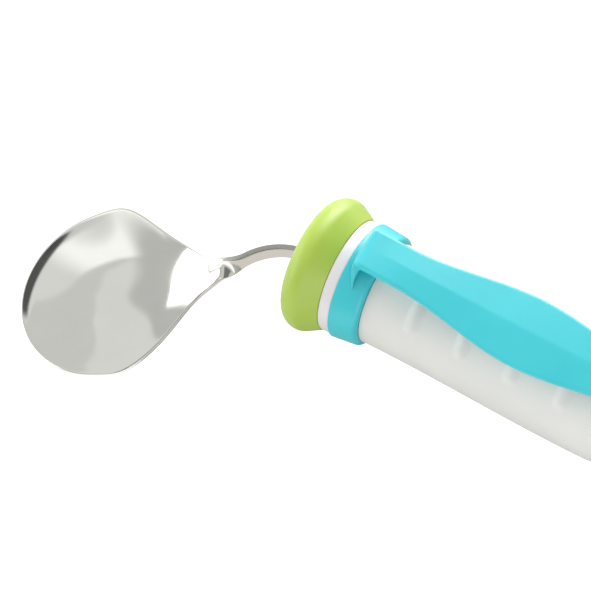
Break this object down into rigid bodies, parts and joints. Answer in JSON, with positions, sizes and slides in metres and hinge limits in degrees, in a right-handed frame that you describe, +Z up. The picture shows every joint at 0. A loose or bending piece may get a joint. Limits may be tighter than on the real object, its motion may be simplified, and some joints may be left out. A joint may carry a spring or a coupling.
{
  "type": "bendable spoon",
  "caption": "Spoon with a round steel bowl on a twisted strip neck that bends sideways, a flared finger guard, a fat soft ribbed handle and a silicone hand strap.",
  "frame": {"origin": "centre of the flat butt face at the rear end of the handle", "axes": "+X along the handle's axis towards the butt, with the bowl at -X; +Z up, on the hand strap's side"},
  "size_m": [0.1877, 0.0708, 0.0401],
  "materials": {
    "polished_steel": "mirror-polished stainless steel",
    "pin_steel": "ground",
    "green_collar": "satin moulded",
    "white_plastic": "satin moulded",
    "soft_white": "fine matte, soft touch",
    "turquoise_silicone": "satin silicone"
  },
  "bodies": {
    "handle": {"neck_tang": "polished_steel", "tang_socket": "white_plastic", "tang_pins": "pin_steel", "collar": "green_collar", "handle_core": "white_plastic", "grip_sleeve": "soft_white", "end_cap": "white_plastic"},
    "neck": {"neck_link": "polished_steel"},
    "spoon_head": {"spoon_bowl": "polished_steel"},
    "strap": {"hand_strap": "turquoise_silicone"}
  },
  "joints": [
    {"name": "neck_bend_1", "type": "hinge", "parent": "handle", "child": "neck", "pos_m": [-0.12319, 0, 0], "axis": [0, 0, 1], "range_deg": [-61.5, 3.5]},
    {"name": "neck_bend_2", "type": "hinge", "parent": "neck", "child": "spoon_head", "pos_m": [-0.13088, -0.00426, 0], "axis": [0, 0, 1], "range_deg": [-61.5, 3.5]},
    {"name": "strap_turn", "type": "hinge", "parent": "handle", "child": "strap", "pos_m": [-0.0569, 0, 0], "axis": [1, 0, 0], "continuous": true}
  ],
  "couplings": [
    {"joint": "neck_bend_2", "follows": "neck_bend_1", "ratio": 1}
  ]
}
